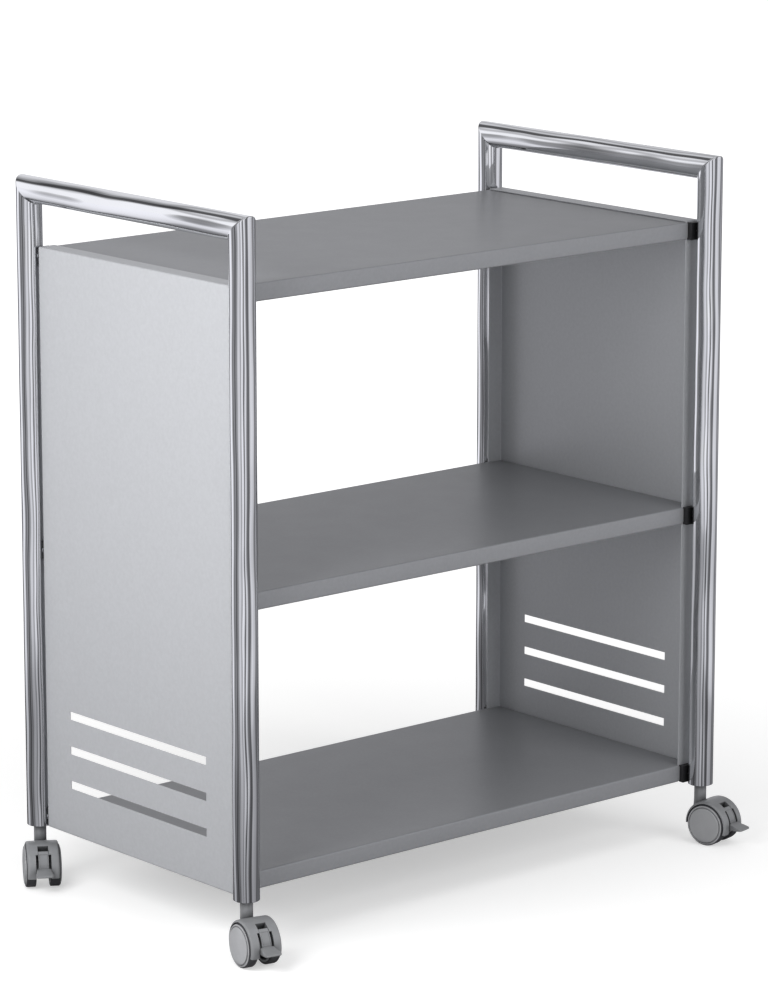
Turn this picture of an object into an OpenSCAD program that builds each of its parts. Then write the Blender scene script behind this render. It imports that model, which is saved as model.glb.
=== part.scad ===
// Shelf cart with a chromed tube frame, sheet-steel side panels, three shelves and four castors
// The origin is on the floor under the middle of the cart, +X to the right, +Y to the back, +Z up
// Lengths are in millimetres and angles in degrees

/* [Frame] */
// Width over the outside of the posts
frame_w = 735; // [550:5:1000]
// Depth over the outside of the posts
frame_d = 415; // [330:5:600]
// Height of the top of the handles over the floor
frame_h = 835; // [700:5:1100]
// Outer diameter of the frame tubes
tube_d = 30; // [28:0.5:32]
// Wall thickness of the frame tubes
tube_wall = 1.5; // [1:0.1:2]
// Height of the open lower ends of the posts over the floor
foot_z = 70; // [66:0.5:76]

/* [Side panels] */
// Clear height between the side panels and the handle rails
hand_gap = 49; // [35:0.5:150]
// Height of the lower edge of the side panels over the ends of the posts
panel_lift = 1; // [0:0.5:20]
// Sheet thickness of the side panels
panel_t = 1.2; // [0.8:0.1:2]
// Depth of the folded edges of a side panel
panel_fold = 22; // [18:0.5:26]
// How far the outer face of a panel stands outside the middle of the posts
panel_out = 3; // [0:0.5:6]
// Least distance between a panel's front edge and the post, filled by the spacers
panel_gap = 4.5; // [4:0.5:8]

/* [Ventilation slots] */
// Number of slots in each side panel
slot_n = 3; // [1:1:5]
// Length of a slot
slot_l = 252; // [120:2:280]
// Height of a slot
slot_h = 9.7; // [6:0.1:14]
// Distance between the middles of neighbouring slots
slot_pitch = 41.4; // [20:0.1:50]
// Height of the middle of the lowest slot over the panel's lower edge
slot_low = 61; // [40:0.5:80]

/* [Shelves] */
// Sheet thickness of the shelves
shelf_t = 1.2; // [0.8:0.1:2]
// Height of a shelf's front and back edges
shelf_h = 20.5; // [16:0.5:30]
// Width of the lip folded inwards under a shelf's front and back edges
shelf_lip = 12; // [6:0.5:20]
// Height of the middle shelf's surface over the floor
mid_z = 411; // [350:1:480]
// Distance that the shelf's front edge runs on over the panel's front fold
shelf_over = 1.5; // [0.5:0.5:5]
// Gap between the sheets of a shelf and of a panel
sheet_gap = 0.3; // [0.1:0.1:0.6]

/* [Fasteners] */
// Thread diameter of the shelf screws
screw_d = 5; // [4:0.5:5]
// Length of the shelf screws under the head
screw_l = 14; // [12:1:15]
// Head diameter of the shelf screws
head_d = 8.5; // [8:0.1:9]
// Head height of the shelf screws
head_h = 2.7; // [2:0.1:3.5]
// Width across the corners of the hexagon socket in a screw head
key_d = 3.5; // [2.5:0.1:4]
// Depth of the hexagon socket in a screw head
key_depth = 1.5; // [1:0.1:1.8]
// Radial clearance of the screws in the sheets and spacers
hole_gap = 0.25; // [0.1:0.05:0.5]
// Outer diameter of a rivet nut in the post wall
nut_d = 7; // [6.5:0.1:7.5]
// Length of a rivet nut
nut_l = 9.5; // [8:0.5:10]
// Diameter of a rivet nut's collar
nut_collar_d = 9.5; // [8.5:0.1:10]
// Thickness of a rivet nut's collar
nut_collar_t = 0.9; // [0.5:0.1:1.2]
// Width of a spacer between panel and post
spacer_w = 17; // [15:0.5:18]
// Thickness of a spacer, measured from the panel
spacer_t = 7; // [6:0.5:9]

/* [Castor mounting] */
// Diameter of a castor stem
stem_d = 10; // [8:0.5:10]
// Height of a post insert
insert_h = 40; // [32:1:60]
// Length of the stem above the post's lower end
stem_up = 35; // [28:1:45]
// Length of the stem below its shoulder
stem_down = 22; // [18:0.5:23]
// Thickness of the shoulder that the post insert stands on
shoulder_t = 0.8; // [0.5:0.1:1.5]
// Diameter of the knob that keeps the castor body on its stem
knob_d = 11.4; // [10.6:0.1:11.6]
// Length of that knob
knob_h = 3.5; // [2:0.5:5]
// Height of the grip ring's middle over the post's lower end
grip_z = 25; // [18:1:30]
// Height of a grip ring
grip_h = 3; // [2:0.5:5]
// Thickness of a grip ring
grip_t = 1; // [0.6:0.1:1.2]

/* [Castors] */
// Diameter of the wheels
wheel_d = 50; // [46:0.5:52]
// Width of one wheel over its tyre
tread_w = 11.5; // [10:0.5:14]
// Wall thickness of the wheel's hub
hub_wall = 3; // [2:0.1:4]
// Wall thickness of the wheel's rim
rim_wall = 2; // [1.5:0.1:3]
// Depth of the dish in a wheel's outer face
dish_depth = 2.6; // [2.4:0.1:4]
// Width of the rim round that dish
dish_edge = 3; // [2:0.1:4]
// Clear distance between the two wheels of a castor
wheel_space = 16.5; // [16:0.5:20]
// Distance between the swivel axis and the axle
trail = 20; // [17:0.5:23]
// Thickness of the tyre
tyre_t = 3; // [2:0.1:4]
// Gap between a wheel and the web of the castor body
web_gap = 1; // [0.6:0.1:1.4]
// Gap between the tyre and the mudguard
guard_gap = 1.8; // [1:0.1:3]
// Thickness of the mudguard
guard_t = 2.2; // [1.5:0.1:3]
// How far the tyre shows beside the mudguard
guard_in = 0.8; // [0.2:0.1:3]
// Angle under the level of the axle at which the mudguard ends in front
guard_front_angle = 18; // [14:1:24]
// Angle under the level of the axle at which the mudguard ends behind
guard_back_angle = 2; // [-10:1:20]
// Diameter of the axle
axle_d = 6; // [5:0.5:7]
// Thickness of the upset heads of the axle
axle_head_t = 1; // [0.6:0.1:1.2]
// Extra radius of the upset heads of the axle
axle_head_r = 1.4; // [1:0.1:2]
// Height of the domed middle of a wheel cover
cover_dome = 1.5; // [0.5:0.1:3]
// Thickness of a wheel cover at its rim
cover_t = 0.8; // [0.5:0.1:1.5]
// Height and wall thickness of the ring that plugs a wheel cover into its wheel
plug_t = 2; // [1:0.1:2.2]
// Part of the wheel's radius that the wheel cover spans
cover_part = 0.96; // [0.8:0.01:0.97]
// Running clearance of stems, axles and pins in their bores
run_gap = 0.05; // [0.02:0.01:0.08]
// Gap between faces that turn past each other
face_gap = 0.2; // [0.1:0.05:0.3]

/* [Castor directions] */
// Turn of the front right castor out of the straight trailing position
turn_front_right = 11.5; // [-180:0.5:180]
// Turn of the front left castor
turn_front_left = -11.5; // [-180:0.5:180]
// Turn of the back left castor
turn_back_left = -31.5; // [-180:0.5:180]
// Turn of the back right castor
turn_back_right = 148.5; // [-180:0.5:180]

/* [Brake levers] */
// Width of a brake lever's plate
lever_w = 12; // [8:0.5:12]
// Thickness of the lever's curved plate
lever_t = 4; // [3:0.5:5]
// Angle over the level of the axle at which the lever's plate begins
lever_top_angle = 50; // [48:1:55]
// Angle under the level of the axle at which the lever's plate ends
lever_low_angle = 12; // [9:1:16]
// Width of the foot ledge where it leaves the mudguard
ledge_w = 17.5; // [13:0.5:18]
// Width of the foot ledge at its tip
ledge_tip_w = 20; // [18:0.5:22]
// How far the foot ledge stands out of the mudguard's surface
ledge_out = 17; // [12:0.5:19]
// Distance from the mudguard's surface at which the foot ledge starts to widen
ledge_flare = 4; // [3:0.5:6]
// Thickness of the ledge's tip
ledge_tip_t = 2; // [1.5:0.1:3]
// Angle over the level of the axle at which the ledge's top face begins inside the plate
ledge_top_angle = 13; // [10:1:14]
// Angle under the level of the axle of the ledge's lower tip edge
ledge_low_angle = 3; // [2:1:6]
// Angle over the level of the axle at which the window above the lever ends
window_top_angle = 66; // [62:1:76]
// Angle over the level of the axle under which the recess is as wide as the ledge
recess_top_angle = 41; // [36:1:42]
// Diameter of the castor body's core behind the lever
core_d = 28; // [24:0.5:29]
// Diameter of the lever's pivot pin
pin_d = 3; // [2.5:0.1:3.2]
// Distance between the axle and the pivot pin
pin_r = 21.5; // [20:0.5:22]
// Gap between a lever's sides and the castor body
lever_gap = 0.25; // [0.15:0.05:0.4]
// Diameter of the boss round the pivot pin
boss_d = 7; // [6:0.5:8]
// Angle that the lever's arm spans under its top
arm_angle = 16; // [12:1:20]
// Depth of the sunk front face of the lever's plate
sunk_depth = 0.5; // [0.3:0.1:1]
// Width of the rim beside that face
sunk_rim = 1; // [0.6:0.1:2]
// Angle over the level of the axle at which that face ends below
sunk_low_angle = 11; // [10:1:15]

/* [Hidden] */
$fn = 96;
eps = 0.01;
tube_r = tube_d / 2;
post_x = frame_w / 2 - tube_r;
post_y = frame_d / 2 - tube_r;
rail_z = frame_h - tube_r;
panel_z = foot_z + panel_lift;
panel_top = frame_h - tube_d - hand_gap;
panel_x = post_x + panel_out;
panel_y = post_y - tube_r - panel_gap;
fold_x = panel_x - panel_fold;
shelf_y = panel_y + sheet_gap + shelf_t;
shelf_x = fold_x + shelf_over;
shelf_end = panel_x - panel_t - sheet_gap;
tab_y = panel_y - panel_t - sheet_gap;
tab_x = fold_x + 2 * shelf_over;
top_z = panel_top - panel_t - sheet_gap;
low_z = panel_z + shelf_h;
screw_x = shelf_end - shelf_t - head_d / 2 - sheet_gap;
screw_face = tab_y - shelf_t;
nut_face = post_y - tube_r - nut_collar_t;
spacer_x = shelf_x + sheet_gap;
insert_d = tube_d - 2 * tube_wall - 2 * run_gap;
neck_top = foot_z - shoulder_t - face_gap;
stem_low = foot_z - shoulder_t - stem_down;
wheel_r = wheel_d / 2;
wheel_in = wheel_space / 2;
wheel_out = wheel_in + tread_w;
rim_r = wheel_r - tyre_t;
web_t = wheel_space - 2 * web_gap;
guard_r = wheel_r + guard_gap + guard_t;
guard_x = wheel_out - guard_in;
cover_r = wheel_r * cover_part;
hub_r = axle_d / 2 + hub_wall;
dish_r = rim_r - dish_edge;
head_x = wheel_out - dish_depth + face_gap;
lever_r = guard_r - lever_gap;
ledge_r = guard_r + ledge_out;
recess_over_angle = 13;
wide = 3 * guard_r;
dome_steps = 8;
CORNERS = [
    ["front_left", -1, -1, turn_front_left],
    ["front_right", 1, -1, turn_front_right],
    ["back_left", -1, 1, turn_back_left],
    ["back_right", 1, 1, turn_back_right],
];
SIDES = [["left", -1], ["right", 1]];
SHELVES = [["top", top_z, fold_x - sheet_gap], ["middle", mid_z, shelf_end], ["bottom", low_z, shelf_end]];

chrome = [0.82, 0.83, 0.85];
steel = [0.62, 0.63, 0.65];
panel_paint = [0.68, 0.69, 0.71];
shelf_paint = [0.52, 0.53, 0.55];
castor_grey = [0.55, 0.56, 0.58];
cover_grey = [0.66, 0.67, 0.69];
tyre_grey = [0.25, 0.25, 0.27];
black = [0.12, 0.12, 0.13];

// Box between two corners, given in any order
module box(a, b) {
    low = [for (i = [0:2]) min(a[i], b[i])];
    size = [for (i = [0:2]) abs(a[i] - b[i])];
    translate(low) cube(size);
}

// Children drawn for the back right corner and mirrored to another one
module at_corner(c) {
    mirror([c[1] < 0 ? 1 : 0, 0, 0]) mirror([0, c[2] < 0 ? 1 : 0, 0]) children();
}

// Children repeated at the four corners of the cart
module at_corners() {
    for (c = CORNERS) at_corner(c) children();
}

// Children repeated at the shelf screws of one corner, pointing towards the post
module at_screws() {
    for (s = SHELVES) translate([screw_x, 0, s[1] - shelf_h / 2]) rotate([-90, 0, 0]) children();
}

// Half space above the mitre between a post and its handle rail, over the post's side
module mitre_cut() {
    reach = tube_d;
    translate([-reach, 0, 0]) rotate([90, 0, 90])
        linear_extrude(2 * reach) polygon([[-reach, -reach], [reach, reach], [-reach, reach]]);
}

// Post tube of one corner
module post(c) {
    color(chrome) at_corner(c) difference() {
        translate([post_x, post_y, foot_z]) cylinder(h = frame_h - foot_z, d = tube_d);
        translate([post_x, post_y, foot_z - 1])
            cylinder(h = frame_h - foot_z + 2, d = tube_d - 2 * tube_wall);
        translate([post_x, post_y, rail_z]) mitre_cut();
        at_screws() translate([0, 0, panel_y]) cylinder(h = post_y - panel_y, d = nut_d + 2 * run_gap);
    }
}

// Handle rail that joins the tops of a front and a back post
module handle_rail(side) {
    color(chrome) difference() {
        translate([side * post_x, 0, rail_z]) rotate([90, 0, 0])
            cylinder(h = frame_d, d = tube_d, center = true);
        translate([side * post_x, 0, rail_z]) rotate([90, 0, 0])
            cylinder(h = frame_d + 2, d = tube_d - 2 * tube_wall, center = true);
        for (end = [0, 1]) mirror([0, end, 0])
            translate([side * post_x, post_y, rail_z]) rotate([0, 180, 0]) mirror([0, 1, 0]) mitre_cut();
    }
}

// Side panel, a sheet with all four edges folded inwards and slots near its foot
module side_panel(side) {
    color(panel_paint) mirror([side < 0 ? 1 : 0, 0, 0]) difference() {
        box([fold_x, -panel_y, panel_z], [panel_x, panel_y, panel_top]);
        box([fold_x - 1, -panel_y + panel_t, panel_z + panel_t],
            [panel_x - panel_t, panel_y - panel_t, panel_top - panel_t]);
        for (i = [0:slot_n - 1]) translate([0, 0, panel_z + slot_low + i * slot_pitch])
            box([fold_x, -slot_l / 2, -slot_h / 2], [panel_x + 1, slot_l / 2, slot_h / 2]);
        for (end = [0, 1]) mirror([0, end, 0])
            at_screws() translate([0, 0, screw_face]) cylinder(h = spacer_t, d = screw_d + 2 * hole_gap);
    }
}

// One quarter of a shelf with its surface at a height and its end fold at end_x, without the screw hole
module shelf_quarter(z, end_x) {
    low = z - shelf_h;
    end_low = max(low, panel_z + panel_t + sheet_gap);
    tab_start = min(tab_x, end_x - shelf_t);
    box([0, 0, z - shelf_t], [fold_x - sheet_gap, shelf_y, z]);
    box([0, 0, z - shelf_t], [end_x, tab_y, z]);
    box([0, shelf_y - shelf_t, low], [shelf_x, shelf_y, z]);
    box([0, shelf_y - shelf_lip, low], [fold_x - sheet_gap, shelf_y, low + shelf_t]);
    box([end_x - shelf_t, 0, end_low], [end_x, tab_y, z]);
    box([tab_start, tab_y - shelf_t, end_low], [shelf_end, tab_y, z - shelf_t]);
}

// Shelf, a tray turned upside down with tabs that are screwed to the panels' folds
module shelf(z, end_x) {
    color(shelf_paint) difference() {
        for (x = [0, 1]) for (y = [0, 1]) mirror([x, 0, 0]) mirror([0, y, 0]) shelf_quarter(z, end_x);
        at_corners() at_screws()
            translate([0, 0, screw_face - 1]) cylinder(h = shelf_t + 2, d = screw_d + 2 * hole_gap);
    }
}

// Screw with a round head and a hexagon socket, its axis along +Z from the head's seat
module screw() {
    difference() {
        union() {
            translate([0, 0, screw_face - head_h]) cylinder(h = head_h, d = head_d);
            translate([0, 0, screw_face - eps]) cylinder(h = screw_l + eps, d = screw_d);
        }
        translate([0, 0, screw_face - head_h - eps]) cylinder(h = key_depth, d = key_d, $fn = 6);
    }
}

// The twelve screws that hold the shelves and panels to the posts
module shelf_screws() {
    color(steel) at_corners() at_screws() screw();
}

// The twelve rivet nuts set in the post walls
module rivet_nuts() {
    color(steel) at_corners() at_screws() difference() {
        union() {
            translate([0, 0, nut_face]) cylinder(h = nut_collar_t, d = nut_collar_d);
            translate([0, 0, nut_face]) cylinder(h = nut_l, d = nut_d);
        }
        translate([0, 0, nut_face - 1]) cylinder(h = nut_l + 2, d = screw_d + 2 * run_gap);
    }
}

// The twelve dark spacers between the panels' folds and the posts, hollowed to fit the tube
module post_spacers() {
    color(black) at_corners() difference() {
        for (s = SHELVES)
            box([spacer_x, panel_y, s[1] - shelf_h], [spacer_x + spacer_w, panel_y + spacer_t, s[1]]);
        translate([post_x, post_y, foot_z - 1]) cylinder(h = frame_h, r = tube_r + run_gap);
        at_screws() translate([0, 0, screw_face]) cylinder(h = spacer_t * 2, d = screw_d + 2 * hole_gap);
        at_screws() translate([0, 0, nut_face - run_gap])
            cylinder(h = spacer_t * 2, d = nut_collar_d + 2 * run_gap);
    }
}

// The four plastic inserts pressed into the lower ends of the posts, with bores for the castor stems
// A groove that is open at the top lets each pass the lowest rivet nut
module post_inserts() {
    groove = nut_d / 2 + hole_gap;
    nut_z = low_z - shelf_h / 2;
    color(black) at_corners() difference() {
        translate([post_x, post_y, foot_z]) difference() {
            cylinder(h = insert_h, d = insert_d);
            translate([0, 0, -1]) cylinder(h = insert_h + 2, d = stem_d + 2 * run_gap);
            translate([0, 0, grip_z - grip_h / 2 - run_gap])
                cylinder(h = grip_h + 2 * run_gap, d = stem_d + 2 * run_gap + grip_t);
        }
        box([screw_x - groove, panel_y, nut_z - groove],
            [screw_x + groove, nut_face + nut_l + hole_gap, nut_z + insert_h]);
    }
}

// The four grip rings that hold the stems in the post inserts
module grip_rings() {
    color(steel) for (c = CORNERS) translate([c[1] * post_x, c[2] * post_y, foot_z + grip_z - grip_h / 2])
        difference() {
            cylinder(h = grip_h, d = stem_d + grip_t);
            translate([0, 0, -1]) cylinder(h = grip_h + 2, d = stem_d - grip_t);
        }
}

// Steel stem with its shoulder, grip groove and knob
module castor_stem(c) {
    color(steel) translate([c[1] * post_x, c[2] * post_y, 0]) difference() {
        union() {
            translate([0, 0, stem_low]) cylinder(h = foot_z + stem_up - stem_low, d = stem_d);
            translate([0, 0, stem_low]) cylinder(h = knob_h, d = knob_d);
            translate([0, 0, foot_z - shoulder_t]) cylinder(h = shoulder_t, d = web_t - 2 * web_gap);
        }
        translate([0, 0, foot_z + grip_z - grip_h / 2 - run_gap]) difference() {
            cylinder(h = grip_h + 2 * run_gap, d = stem_d + 2);
            translate([0, 0, -1]) cylinder(h = grip_h + 3, d = stem_d - grip_t - 2 * run_gap);
        }
    }
}

// Children of one castor, drawn with the swivel axis as Z and the axle in front, and turned
module in_castor(c) {
    translate([c[1] * post_x, c[2] * post_y, 0]) rotate([0, 0, c[3]]) children();
}

// Children drawn from the axle, with the axle's line as X
module at_axle() {
    translate([0, -trail, wheel_r]) children();
}

// Flat outline seen along the axle, given a thickness that is centred on the castor
module slab(t) {
    rotate([90, 0, 90]) linear_extrude(t, center = true) children();
}

// Point at a radius from the axle and an angle over its level in front
function polar(r, a) = [-r * cos(a), r * sin(a)];

// Everything under the line that joins the ends of the mudguard
module below_guard() {
    front = polar(guard_r, -guard_front_angle);
    back = polar(guard_r, 180 + guard_back_angle);
    run = back - front;
    polygon([front - run, back + run, back + run - [0, wide], front - run - [0, wide]]);
}

// Wedge between two angles in front of the axle
module wedge(low, high) {
    mean = (low + high) / 2;
    polygon([[0, 0], polar(wide, low), polar(wide, mean), polar(wide, high)]);
}

// Space in front of a castor's core, up to an angle and a little wider than a lever part
module recess(part_w, top) {
    slab(part_w + 2 * lever_gap) difference() {
        wedge(-guard_front_angle - recess_over_angle, top);
        circle(d = core_d);
    }
}

// Body of a castor with its web, mudguard, neck, bores and the recess for its brake lever
module castor_body(c) {
    color(castor_grey) in_castor(c) difference() {
        union() {
            at_axle() slab(web_t) difference() {
                circle(guard_r);
                below_guard();
            }
            at_axle() slab(2 * guard_x) difference() {
                circle(guard_r);
                circle(guard_r - guard_t);
                below_guard();
            }
            translate([0, 0, wheel_r]) cylinder(h = neck_top - wheel_r, d = web_t);
        }
        translate([0, 0, stem_low - face_gap]) cylinder(h = neck_top, d = stem_d + 2 * run_gap);
        translate([0, 0, stem_low - face_gap]) cylinder(h = knob_h + 2 * face_gap, d = knob_d + 2 * run_gap);
        at_axle() rotate([0, 90, 0]) cylinder(h = 2 * guard_r, d = axle_d, center = true);
        at_axle() {
            recess(lever_w, window_top_angle);
            recess(ledge_w, recess_top_angle);
            slab(web_t + 2) translate(polar(pin_r, lever_top_angle)) circle(d = pin_d);
        }
    }
}

// Side outline of a lever's foot ledge, which tapers to its tip
module ledge_side(root_r) {
    tip = polar(ledge_r, -ledge_low_angle);
    polygon([
        polar(root_r, ledge_top_angle),
        tip + [0, ledge_tip_t],
        tip,
        polar(root_r, -lever_low_angle),
    ]);
}

// One side of a foot ledge seen from above, which widens in front of the mudguard
module ledge_half_plan() {
    flare_y = guard_r + ledge_flare;
    polygon([
        [0, 0],
        [ledge_w / 2, 0],
        [ledge_w / 2, -flare_y],
        [ledge_tip_w / 2, -flare_y - 2 * (ledge_tip_w - ledge_w)],
        [ledge_tip_w / 2, -ledge_r],
        [0, -ledge_r],
    ]);
}

// Foot ledge in front of the mudguard
module foot_ledge(root_r) {
    difference() {
        intersection() {
            slab(ledge_tip_w) ledge_side(root_r);
            translate([0, 0, -guard_r]) linear_extrude(2 * guard_r) {
                ledge_half_plan();
                mirror([1, 0]) ledge_half_plan();
            }
        }
        slab(ledge_tip_w + 2) circle(guard_r + face_gap);
    }
}

// Brake lever with its curved plate, pivot arm and boss, and the foot ledge across it
module brake_lever(c) {
    root_r = lever_r - lever_t;
    color(cover_grey) in_castor(c) at_axle() {
        difference() {
            slab(lever_w) difference() {
                union() {
                    intersection() {
                        difference() {
                            circle(lever_r);
                            circle(root_r);
                        }
                        wedge(-lever_low_angle, lever_top_angle);
                    }
                    intersection() {
                        difference() {
                            circle(lever_r);
                            circle(pin_r - pin_d);
                        }
                        wedge(lever_top_angle - arm_angle, lever_top_angle);
                    }
                    translate(polar(pin_r, lever_top_angle)) circle(d = boss_d);
                    ledge_side(root_r);
                }
                translate(polar(pin_r, lever_top_angle)) circle(d = pin_d + 2 * run_gap);
            }
            slab(lever_w - 2 * sunk_rim) difference() {
                wedge(sunk_low_angle, lever_top_angle - arm_angle / 2);
                circle(lever_r - sunk_depth);
            }
        }
        foot_ledge(root_r);
    }
}

// Pin that a brake lever turns on, held in the castor body
module brake_pin(c) {
    color(steel) in_castor(c) at_axle() slab(web_t)
        translate(polar(pin_r, lever_top_angle)) circle(d = pin_d);
}

// Axle pressed through the castor body, with upset heads that keep the wheels on
module castor_axle(c) {
    color(steel) in_castor(c) at_axle() rotate([0, 90, 0]) {
        cylinder(h = 2 * head_x + 2 * axle_head_t, d = axle_d, center = true);
        for (s = [0, 1]) mirror([0, 0, s]) translate([0, 0, head_x])
            cylinder(h = axle_head_t, r = axle_d / 2 + axle_head_r);
    }
}

// Children drawn for the right wheel of a castor, with the axle as Z pointing outwards
module at_wheel(c, side) {
    in_castor(c) at_axle() mirror([side < 0 ? 1 : 0, 0, 0]) rotate([0, 90, 0]) children();
}

// Wheel core with its hub, an inner pocket and a dish for the cover
module wheel(c, side) {
    color(castor_grey) at_wheel(c, side) difference() {
        union() {
            translate([0, 0, wheel_in]) cylinder(h = tread_w, r = rim_r);
            translate([0, 0, wheel_in - web_gap + face_gap]) cylinder(h = tread_w / 2, r = hub_r);
        }
        cylinder(h = 2 * wheel_out, d = axle_d + 2 * run_gap);
        translate([0, 0, wheel_out - dish_depth]) cylinder(h = 2 * dish_depth, r = dish_r);
        translate([0, 0, wheel_in - 1]) difference() {
            cylinder(h = tread_w / 2 + 1, r = rim_r - rim_wall);
            cylinder(h = tread_w, r = hub_r);
        }
    }
}

// Tyre band with its edges bevelled
module tyre(c, side) {
    edge = tyre_t / 3;
    color(tyre_grey) at_wheel(c, side) rotate_extrude() polygon([
        [rim_r, wheel_in],
        [wheel_r - edge, wheel_in],
        [wheel_r, wheel_in + edge],
        [wheel_r, wheel_out - edge],
        [wheel_r - edge, wheel_out],
        [rim_r, wheel_out],
    ]);
}

// Domed cover of a wheel, with a ring that plugs into the wheel's dish
module wheel_cover(c, side) {
    face = wheel_out + cover_t;
    dome = [for (i = [0:dome_steps - 1]) let (r = cover_r * (1 - i / dome_steps))
        [r, face + cover_dome * (1 - pow(r / cover_r, 2))]];
    color(cover_grey) at_wheel(c, side) rotate_extrude() polygon(concat(
        [[0, wheel_out], [dish_r - plug_t, wheel_out], [dish_r - plug_t, wheel_out - plug_t]],
        [[dish_r - run_gap, wheel_out - plug_t], [dish_r - run_gap, wheel_out], [cover_r, wheel_out]],
        dome,
        [[0, face + cover_dome]]
    ));
}

for (c = CORNERS) {
    post(c);
    castor_stem(c);
    castor_body(c);
    castor_axle(c);
    brake_lever(c);
    brake_pin(c);
    for (s = SIDES) {
        wheel(c, s[1]);
        tyre(c, s[1]);
        wheel_cover(c, s[1]);
    }
}
for (s = SIDES) handle_rail(s[1]);
for (s = SIDES) side_panel(s[1]);
for (s = SHELVES) shelf(s[1], s[2]);
shelf_screws();
rivet_nuts();
post_spacers();
post_inserts();
grip_rings();
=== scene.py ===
"""Looks of a shelf cart: chromed tubes, steel panels and shelves, and four castors with brakes.

Every shape is a grid of points worked out with numpy, in metres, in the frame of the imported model.
"""

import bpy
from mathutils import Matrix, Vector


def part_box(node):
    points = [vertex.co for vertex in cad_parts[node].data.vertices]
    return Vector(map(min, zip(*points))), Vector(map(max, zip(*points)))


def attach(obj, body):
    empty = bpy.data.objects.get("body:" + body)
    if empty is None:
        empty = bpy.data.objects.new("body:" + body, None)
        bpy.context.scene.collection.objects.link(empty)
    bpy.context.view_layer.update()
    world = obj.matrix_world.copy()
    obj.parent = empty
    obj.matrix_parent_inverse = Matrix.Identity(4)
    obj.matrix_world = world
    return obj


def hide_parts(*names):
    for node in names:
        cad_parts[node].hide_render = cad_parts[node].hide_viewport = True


bl_info = {
    "name": "Shelf cart",
    "version": (1, 0, 0),
    "blender": (4, 5, 0),
    "location": "View3D > Sidebar > Cart",
    "description": "Builds the surfaces, finishes and studio of a shelf cart on castors",
    "category": "Object",
}

import bmesh
import bpy
import numpy as np
from bpy.props import FloatProperty, FloatVectorProperty, PointerProperty
from mathutils import Matrix, Vector

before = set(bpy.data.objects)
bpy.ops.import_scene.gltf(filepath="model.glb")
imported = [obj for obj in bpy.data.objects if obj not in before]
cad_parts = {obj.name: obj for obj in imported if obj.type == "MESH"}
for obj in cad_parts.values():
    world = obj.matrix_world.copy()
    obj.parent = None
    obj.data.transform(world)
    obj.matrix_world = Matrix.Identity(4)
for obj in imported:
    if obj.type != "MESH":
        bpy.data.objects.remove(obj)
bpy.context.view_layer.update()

MM = 0.001
# Smallest difference that counts, and distance within which two points are one
HAIR, DOUBLE = 1e-6, 0.002 * MM
FULL = 2 * np.pi
# Steps round a tube or a wheel, and the angles of a quarter bend
ROUND_STEPS = 96
QUARTER = np.radians(np.linspace(0, 90, 6))
# Edges that turn by more than this stay sharp, and may be bevelled
SMOOTH_LIMIT = np.radians(32)
# Side in X, side in Y and turn about the stem of each castor
CORNERS = {
    "front_left": (-1, -1, np.radians(-11.5)),
    "front_right": (1, -1, np.radians(11.5)),
    "back_left": (-1, 1, np.radians(-31.5)),
    "back_right": (1, 1, np.radians(148.5)),
}
SIDES = {"left": -1, "right": 1}


def box_of(node):
    """Lowest and highest corner of a CAD node as two arrays."""
    low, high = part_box(node)
    return np.array(low), np.array(high)


rail_low, rail_high = box_of("handle_rail_right")
panel_low, panel_high = box_of("side_panel_right")
TUBE_R = (rail_high[0] - rail_low[0]) / 2
POST_X = (rail_low[0] + rail_high[0]) / 2
POST_Y = rail_high[1] - TUBE_R
RAIL_Z = rail_high[2] - TUBE_R
FOOT_Z = box_of("post_front_right")[0][2]

# What all lengths and all colours that a user may change have in common
LENGTH = {"unit": "LENGTH", "precision": 5}
COLOUR = {"subtype": "COLOR", "size": 3, "min": 0, "max": 1}


class TubeSizes(bpy.types.PropertyGroup):
    """Sizes of the chromed tube frames"""

    wall: FloatProperty(
        name="Tube wall", description="Wall thickness of the frame tubes",
        default=1.5 * MM, min=0.5 * MM, **LENGTH)
    corner_round: FloatProperty(
        name="Corner rounding", description="Length over which a mitred corner is polished round",
        default=1.4 * MM, min=0.2 * MM, **LENGTH)
    end_chamfer: FloatProperty(
        name="End chamfer", description="Chamfer of the open lower ends of the posts",
        default=0.35 * MM, min=0.05 * MM, **LENGTH)


class SheetSizes(bpy.types.PropertyGroup):
    """Sizes of the folded steel sheets"""

    sheet: FloatProperty(
        name="Sheet", description="Thickness of the steel sheets",
        default=1.2 * MM, min=0.5 * MM, **LENGTH)
    bend: FloatProperty(
        name="Bend radius", description="Outer radius of the folded edges",
        default=2.2 * MM, min=1.3 * MM, **LENGTH)
    cut_bevel: FloatProperty(
        name="Cut edges", description="Softening of the cut edges under the paint",
        default=0.22 * MM, min=0.02 * MM, **LENGTH)
    slot_half: FloatProperty(
        name="Half slot", description="Half the length of a ventilation slot",
        default=126 * MM, min=50 * MM, **LENGTH)
    slot_h: FloatProperty(
        name="Slot height", description="Height of a ventilation slot",
        default=9.7 * MM, min=5 * MM, **LENGTH)
    slot_low: FloatProperty(
        name="Lowest slot", description="Height of the lowest slot over the panel's lower edge",
        default=61 * MM, min=20 * MM, **LENGTH)
    slot_pitch: FloatProperty(
        name="Slot pitch", description="Distance between the middles of neighbouring slots",
        default=41.4 * MM, min=20 * MM, **LENGTH)
    lip: FloatProperty(
        name="Shelf lip", description="Width of the lip folded in under a shelf's long edges",
        default=12 * MM, min=5 * MM, **LENGTH)


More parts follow.
